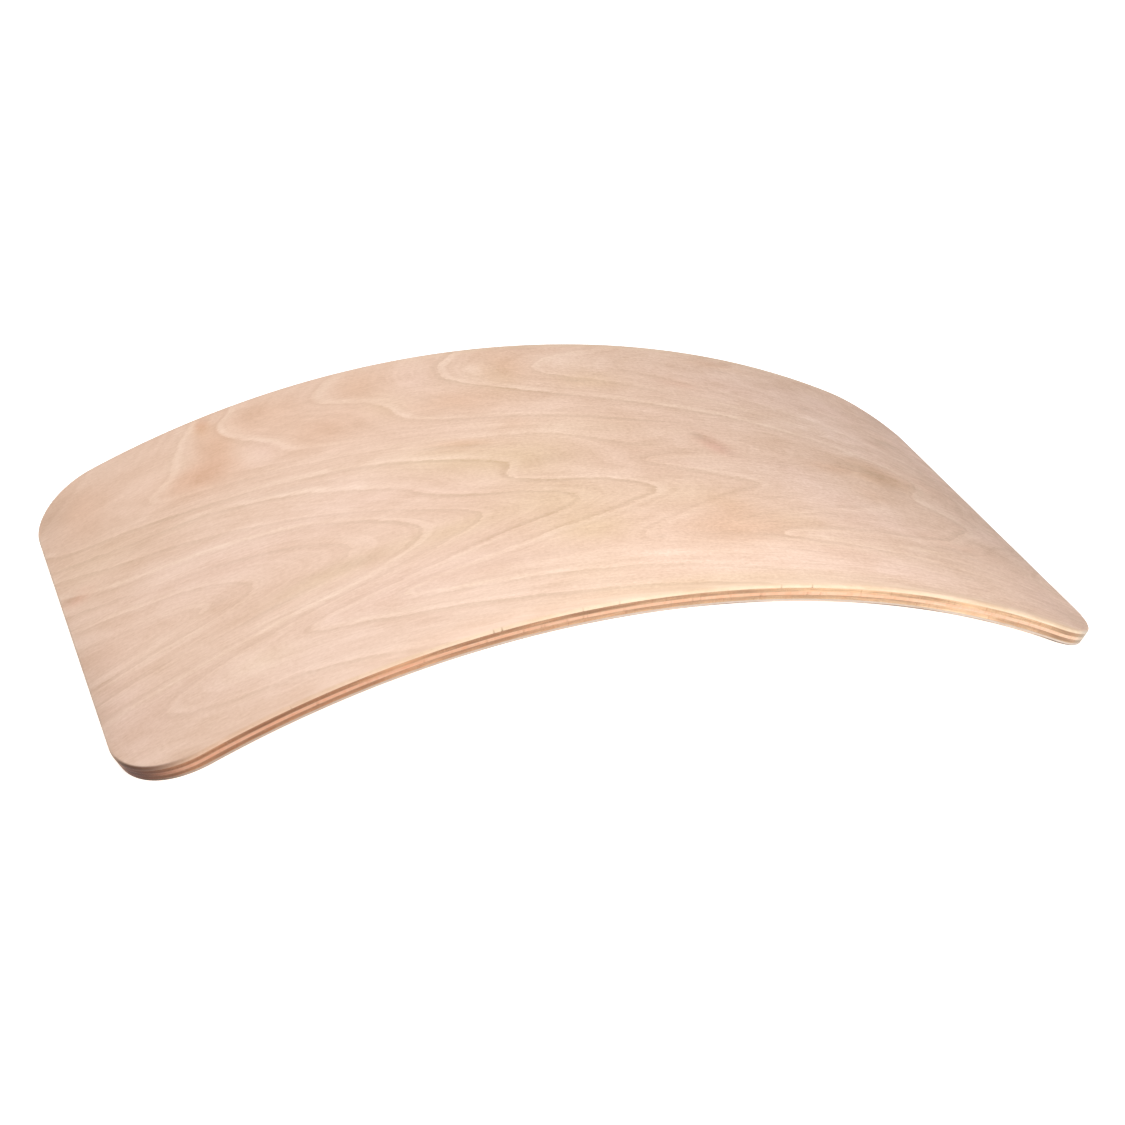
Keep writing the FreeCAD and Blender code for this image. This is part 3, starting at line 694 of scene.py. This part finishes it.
    # the cut edge: creamier on the long sides, darker where the fibres are cut across; darker towards the left end,
    # partly painted shade, and paler to the right, partly painted light
    edge = t.mix(t.span(place[0], -390.0, -40.0, smooth=True), left_edge, right_edge)
    # painted highlight: over the right half the pale edge colour is carried onto the face rim, where the rounded edge
    # catches the light
    rim_highlight = t.mul(t.span(t.math("ABSOLUTE", place[1]), 197.0, 206.5, 0.0, 0.45, smooth=True), t.span(place[0], -140.0, 20.0, smooth=True))
    colour = t.mix(t.math("MAXIMUM", t.span(wall, 0.30, 0.90, 0.0, 0.95, smooth=True), rim_highlight), colour, edge)
    grainy = t.noise(t.stretch(flat, (1 / 0.8, 1 / 0.8, 1 / 0.8), shift), detail=3.0, rough=0.7)
    sawn = t.mix(t.span(grainy, 0.35, 0.65), (0.300, 0.185, 0.115), (0.470, 0.315, 0.205))
    colour = t.mix(t.span(end, 0.05, 0.85, 0.0, 0.90, smooth=True), colour, sawn)
    rim = t.mul(t.span(wall, 0.02, 0.28, smooth=True), t.span(wall, 0.90, 0.50, smooth=True))
    border = t.math("MAXIMUM", t.span(place[1], 202.0, 206.5, smooth=True), t.span(place[0], 391.0, 399.0, smooth=True))
    border = t.mul(border, t.span(wall, 0.90, 0.50, smooth=True))
    rim = t.mul(t.math("MAXIMUM", t.mul(rim, 0.6), border), t.span(place[1], -190.0, -120.0, smooth=True))
    colour = t.mix(t.mul(rim, 0.28), colour, (0.540, 0.440, 0.370))
    # painted shade: the front-left corner's round-over and edge are darkened where they turn away from the light; the
    # bottom veneer gets its own band and colour
    corner_shade = t.mul(t.span(place[0], -338.0, -388.0, smooth=True), t.span(wall, 0.0, 0.35, smooth=True) if painted_lower_shade else t.span(wall, 0.10, 0.75, smooth=True))
    corner_shade = t.mul(corner_shade, t.span(place[1], -150.0, -178.0, smooth=True))
    colour = t.mix(corner_shade, colour, (0.130, 0.085, 0.062) if painted_lower_shade else (0.180, 0.098, 0.060), "MULTIPLY")
    dull = t.mul(t.span(place[0], 358.0, 374.0, smooth=True), t.span(wall, 0.50, 0.95, smooth=True))
    colour = t.mix(dull, colour, (0.86, 0.95, 1.07), "MULTIPLY")
    colour = t.mix(t.mul(check, 0.60), colour, (0.420, 0.260, 0.160))
    # painted shade: on the bottom veneer, a dark line along the visible part of the lower round-over, which faces down
    # into shade; its places are listed with the sheets below
    if painted_lower_shade:
        shade_line = t.attribute("stain_and_shade").outputs["Fac"]
        lower_round_band = t.mul(t.span(wall, 0.985, 0.86, smooth=True), t.span(wall, 0.15, 0.60, smooth=True))
        colour = t.mix(t.mul(lower_round_band, t.span(shade_line, 0.0, 1.0, 0.0, 0.95)), colour, (0.095, 0.075, 0.065))
    # the shade attribute: on the top veneer the broad places listed in SHADES, mostly painted light and shade; on the
    # bottom veneer a slight tone
    shade = t.new("ShaderNodeCombineColor")
    # darker fibres are also warmer: blue falls most, red least
    level = t.add(1.0, t.attribute("shade").outputs["Fac"])
    for k, share in enumerate((0.66, 0.98, 1.32)):
        t.put(shade.inputs[k], t.add(level, t.mul(tone, share)))
    colour = t.mix(1.0, colour, shade.outputs[0], "MULTIPLY")

    rough = t.add(t.span(streak, 0.3, 0.7, 0.47, 0.55), t.mul(end, 0.12))
    height = t.add(t.mul(streak, 0.6), t.sub(t.mul(fibre, 0.5), t.mul(pores, 0.8)))
    return t.finish(colour, rough, height, 0.18, 0.00025, 0.32)


def edge_wood(name, grain, shift, middle, long_colours, end_colours, left_shade_and_tint, reach, right_light_and_tint, corner_tint):
    """The edge of an inner ply: long grain where the edge runs with the fibres, end grain where it cuts them."""
    t = Nodes(name)
    flat = t.attribute("flat").outputs["Vector"]
    place = t.split(flat)
    end = t.attribute("endgrain").outputs["Fac"]
    check = t.attribute("check").outputs["Fac"]

    def along(length, width, thick=None):
        thick = thick or width
        return (1 / length, 1 / width, 1 / thick) if grain == "long" else (1 / width, 1 / length, 1 / thick)

    stain_and_shade = t.attribute("stain_and_shade").outputs["Fac"]
    streak = t.noise(t.stretch(flat, along(38, 0.75), shift), detail=3.0, rough=0.65)
    patch = t.noise(t.stretch(flat, along(70, 24, 3.0), shift), detail=2.0)
    pith = t.noise(t.stretch(flat, along(1.2, 0.8), shift), detail=3.0, rough=0.7)
    bars = t.noise(t.stretch(flat, (1 / 2.4, 1 / 5.0, 1 / 7.0), shift), detail=2.0, rough=0.6)
    hue = t.noise(t.stretch(flat, (1 / 9.0, 1 / 9.0, 1 / 5.0), tuple(c + 9.0 for c in shift)), detail=2.0)
    sway = t.noise(t.stretch(flat, (1 / 26, 1 / 26, 1 / 1.4), tuple(c + 4.0 for c in shift)), detail=2.0, rough=0.6)
    long_colour = t.mix(t.span(streak, 0.30, 0.70), *long_colours)
    long_colour = t.mix(t.span(patch, 0.40, 0.75, 0.0, 0.45), long_colour, tuple(c * 0.80 for c in long_colours[0]))
    long_colour = t.mix(t.span(bars, 0.46, 0.74, 0.0, 0.75), long_colour, (0.96, 0.82, 0.76), "MULTIPLY")
    end_colour = t.mix(t.span(t.add(t.mul(pith, 0.76), t.mul(bars, 0.24)), 0.30, 0.70), *end_colours)
    end_colour = t.mix(t.span(t.add(stain_and_shade, t.mul(t.sub(sway, 0.5), 2.9)), 0.0, 1.2, 0.0, 0.75), end_colour, tuple(c * 0.66 for c in end_colours[0]))
    end_colour = t.mix(t.span(t.add(stain_and_shade, t.mul(t.sub(sway, 0.5), 2.9)), 0.0, -1.2, 0.0, 0.80), end_colour, tuple(c * 1.45 for c in end_colours[1]))
    colour = t.mix(t.span(end, 0.10, 0.80, smooth=True), long_colour, end_colour)
    colour = t.mix(t.span(hue, 0.45, 0.70, 0.0, 0.8), colour, (1.04, 0.92, 0.86), "MULTIPLY")
    off_middle = t.math("ABSOLUTE", t.sub(place[2], middle))
    if grain == "cross":
        colour = t.mix(t.span(off_middle, 1.2, 0.1, smooth=True), colour, (0.97, 0.95, 0.94), "MULTIPLY")
        colour = t.mix(t.span(off_middle, 0.8, 1.9, smooth=True), colour, (1.26, 1.32, 1.36), "MULTIPLY")
    # partly painted shade: darker towards the left end, most on the front edge; partly the ply's own colour
    front = t.span(place[1], -140.0, -185.0, smooth=True)
    colour = t.mix(t.mul(t.span(place[0], -380.0, reach, 1.0, 0.0, smooth=True), t.add(t.mul(front, 0.8), 0.2)), colour, left_shade_and_tint, "MULTIPLY")
    # partly painted light: lighter and cooler towards the right end; partly the ply's own colour
    colour = t.mix(t.span(place[0], 120.0, 340.0, smooth=True), colour, right_light_and_tint, "MULTIPLY")
    # painted shade: the ply's edge at the front-left corner is darkened where it turns away from the light
    corner_shade = t.mul(t.span(place[0], -342.0, -390.0, smooth=True), t.span(place[1], -150.0, -178.0, smooth=True))
    colour = t.mix(corner_shade, colour, (0.185, 0.102, 0.066), "MULTIPLY")
    colour = t.mix(t.span(place[0], 358.0, 374.0, smooth=True), colour, corner_tint, "MULTIPLY")
    colour = t.mix(t.mul(check, 0.60), colour, (0.560, 0.300, 0.175))
    rough = t.span(streak, 0.3, 0.7, 0.52, 0.62)
    height = t.add(t.mul(pith, 0.6), t.mul(streak, 0.5))
    return t.finish(colour, rough, height, 0.25, 0.0003, 0.28)


def glue_resin(name):
    t = Nodes(name)
    flat = t.attribute("flat").outputs["Vector"]
    run = t.noise(t.stretch(flat, (1 / 9, 1 / 9, 1 / 9)), detail=3.0, rough=0.6)
    colour = t.mix(t.span(run, 0.35, 0.65), (0.360, 0.220, 0.135), (0.500, 0.325, 0.210))
    return t.finish(colour, t.span(run, 0.3, 0.7, 0.42, 0.58), None, 0, 0, 0.35)


top_wood = face_wood("face_veneer_top", (0.0, 0.0, 0.0), (0.750, 0.488, 0.341), (0.810, 0.615, 0.432), False)
low_wood = face_wood("face_veneer_bottom", (31.0, 17.0, 5.0), (0.441, 0.339, 0.262), (0.585, 0.468, 0.380), True)
core_wood = edge_wood("core_edge", "long", (12.0, 3.0, 8.0), 7.5, ((0.750, 0.433, 0.270), (0.890, 0.572, 0.397)),
                      ((0.330, 0.200, 0.120), (0.500, 0.320, 0.200)), (0.865, 0.750, 0.730), 20.0, (1.00, 1.06, 1.11), (0.81, 1.04, 1.17))
upper_wood = edge_wood("crossband_edge_upper", "cross", (4.0, 22.0, 1.0), 4.65, ((0.740, 0.480, 0.300), (0.860, 0.620, 0.420)),
                       ((0.385, 0.218, 0.121), (0.624, 0.408, 0.248)), (0.745, 0.560, 0.483), 200.0, (1.14, 1.15, 1.15), (0.72, 0.90, 1.06))
lower_wood = edge_wood("crossband_edge_lower", "cross", (14.0, 2.0, 21.0), 9.95, ((0.740, 0.480, 0.300), (0.860, 0.620, 0.420)),
                       ((0.405, 0.234, 0.132), (0.652, 0.434, 0.268)), (0.770, 0.590, 0.515), 200.0, (1.0, 0.99, 0.99), (0.76, 0.93, 1.09))
resin = glue_resin("glue_resin")

# The nine sheets, from the crown down ---------------------------------------------------
core_checks = dict(count=22, width=(0.50, 0.90), depth=(0.35, 0.70), share=lambda p: 0.7)
core_nicks = [(-331, .6, .4), (-296, .6, .3), (-258, .8, .7), (-221, .6, .3), (-180, .9, .6), (-148, .7, .4), (-134, .8, .7), (-107, .8, .7), (-94, .7, .7),
              (-91.5, .6, .6), (-75, .8, .7), (-63, .7, .7), (-60, .6, .5), (-33, .6, .4), (3, .6, .4), (19.5, 1.0, .8), (25.5, .8, .8), (49, .5, .4),
              (73, 1.1, .8), (84, .5, .3), (110.5, .9, .8), (121, .7, .6), (155, .6, .3), (197, .9, .6), (240, .6, .3), (276, .7, .4), (311, .7, .4)]
core_nicks = [(place, 1.35 * width, 0.65 * depth) for place, width, depth in core_nicks]
cross_checks = dict(count=26, width=(0.30, 0.60), depth=(0.2, 0.5), share=lambda p: 0.6)
face_nicks = [(-128, .9, .50), (-122, 1.0, .55), (-63, .7, .35), (-36, .7, .30), (88, .9, .40), (113, .8, .60), (-275, .6, .3)]
upper_stains = [(-290, 34, .8), (-240, 20, .3), (-195, 26, -.9), (-140, 30, .45), (-55, 20, .8), (-15, 14, .2), (20, 16, .1), (55, 22, .4), (105, 26, -.5),
                (150, 26, -.7), (208, 20, .3), (248, 16, -.5), (295, 36, -.1), (348, 22, 1.0)]
lower_stains = [(-320, 36, .6), (-250, 34, .4), (-185, 22, -.4), (-140, 26, .5), (-75, 36, -.25), (-10, 22, .1), (45, 26, .2), (100, 18, .4), (165, 34, .1),
                (245, 30, -.7), (295, 24, .15), (344, 22, 1.1)]
# places of the bottom veneer's painted shade line along its lower round-over: along, length, amount
low_shade_line = [(-330, 30, .5), (-262, 26, .35), (-195, 22, .2), (-125, 34, .5), (-40, 34, .6), (50, 30, 1.0), (195, 40, 1.2), (268, 20, .5), (350, 26, 1.2)]
stack = [
    ("top_face_veneer", FACE, dict(rounded="top", grain="long", rings=top_rings, fine="top", slot="face_veneer", seed=11, nicks=face_nicks), top_wood),
    ("glue_line_upper_outer", GLUE, dict(rounded=None, grain="long", rings=None, fine=None, slot="glue", seed=12, recess=0.04), resin),
    ("upper_crossband_ply", CROSS, dict(rounded=None, grain="cross", rings=None, fine=None, slot="crossband", seed=13, dents=cross_checks, stains_and_shade=upper_stains), upper_wood),
    ("glue_line_upper_inner", GLUE, dict(rounded=None, grain="long", rings=None, fine=None, slot="glue", seed=14, recess=0.04), resin),
    ("core_ply", CORE, dict(rounded=None, grain="long", rings=None, fine=None, slot="core", seed=15, dents=core_checks, nicks=core_nicks), core_wood),
    ("glue_line_lower_inner", GLUE, dict(rounded=None, grain="long", rings=None, fine=None, slot="glue", seed=16, recess=0.04), resin),
    ("lower_crossband_ply", CROSS, dict(rounded=None, grain="cross", rings=None, fine=None, slot="crossband", seed=17, dents=cross_checks, stains_and_shade=lower_stains), lower_wood),
    ("glue_line_lower_outer", GLUE, dict(rounded=None, grain="long", rings=None, fine=None, slot="glue", seed=18, recess=0.04), resin),
    ("bottom_face_veneer", FACE, dict(rounded="bottom", grain="long", rings=bottom_rings, fine="bottom", slot="face_veneer", seed=19, stains_and_shade=low_shade_line), low_wood),
]
depth = 0.0
for node, thickness, how, material in stack:
    piece = make_sheet(node + "_sheet", depth, depth + thickness, **how)
    piece.data.materials.append(material)
    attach(piece, "root")
    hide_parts(node)
    depth += thickness

# Floor and light ------------------------------------------------------------------------
floor_mesh = bpy.data.meshes.new("floor")
floor_mesh.from_pydata([(-14, -14, 0), (14, -14, 0), (14, 14, 0), (-14, 14, 0)], [], [(0, 1, 2, 3)])
floor = bpy.data.objects.new("floor", floor_mesh)
scene.collection.objects.link(floor)
paper = Nodes("floor_paper")
place = paper.new("ShaderNodeTexCoord").outputs["Object"]
speck = paper.noise(place, scale=3.0, detail=2.0)
paper_colour = paper.mix(paper.span(speck, 0.3, 0.7), (0.815, 0.815, 0.813), (0.830, 0.830, 0.828))
floor_mesh.materials.append(paper.finish(paper_colour, 0.9, None, 0, 0, 0.0))
for shader in paper.tree.nodes:
    if shader.bl_idname == "ShaderNodeBsdfPrincipled":  # a lit table: it softens the shadow under the board
        shader.inputs["Emission Color"].default_value = (1.0, 1.0, 1.0, 1.0)
        shader.inputs["Emission Strength"].default_value = 0.74


def soft_light(name, place, aim, size, power, colour=(1, 1, 1)):
    data = bpy.data.lights.new(name, "AREA")
    data.shape, data.size, data.size_y = "RECTANGLE", size[0], size[1]
    data.energy, data.color = power, colour
    lamp = bpy.data.objects.new(name, data)
    scene.collection.objects.link(lamp)
    lamp.location = place
    lamp.rotation_euler = (Vector(aim) - Vector(place)).to_track_quat("-Z", "Y").to_euler()
    return lamp


soft_light("key", (-0.36, -0.18, 0.95), (-0.60, 0.50, 0.08), (1.40, 1.02), 8.0)
soft_light("front", (0.20, -0.52, 0.22), (0.05, -0.20, 0.05), (0.7, 0.4), 1.0)
soft_light("sweep", (0.0, 2.20, 2.60), (0.0, 1.60, 0.0), (2.4, 1.6), 34.0)
world = bpy.data.worlds.new("studio")
world.use_nodes = True
world.node_tree.nodes["Background"].inputs["Color"].default_value = (1, 1, 1, 1)
world.node_tree.nodes["Background"].inputs["Strength"].default_value = 0.30
scene.world = world
scene.view_settings.view_transform = "Standard"
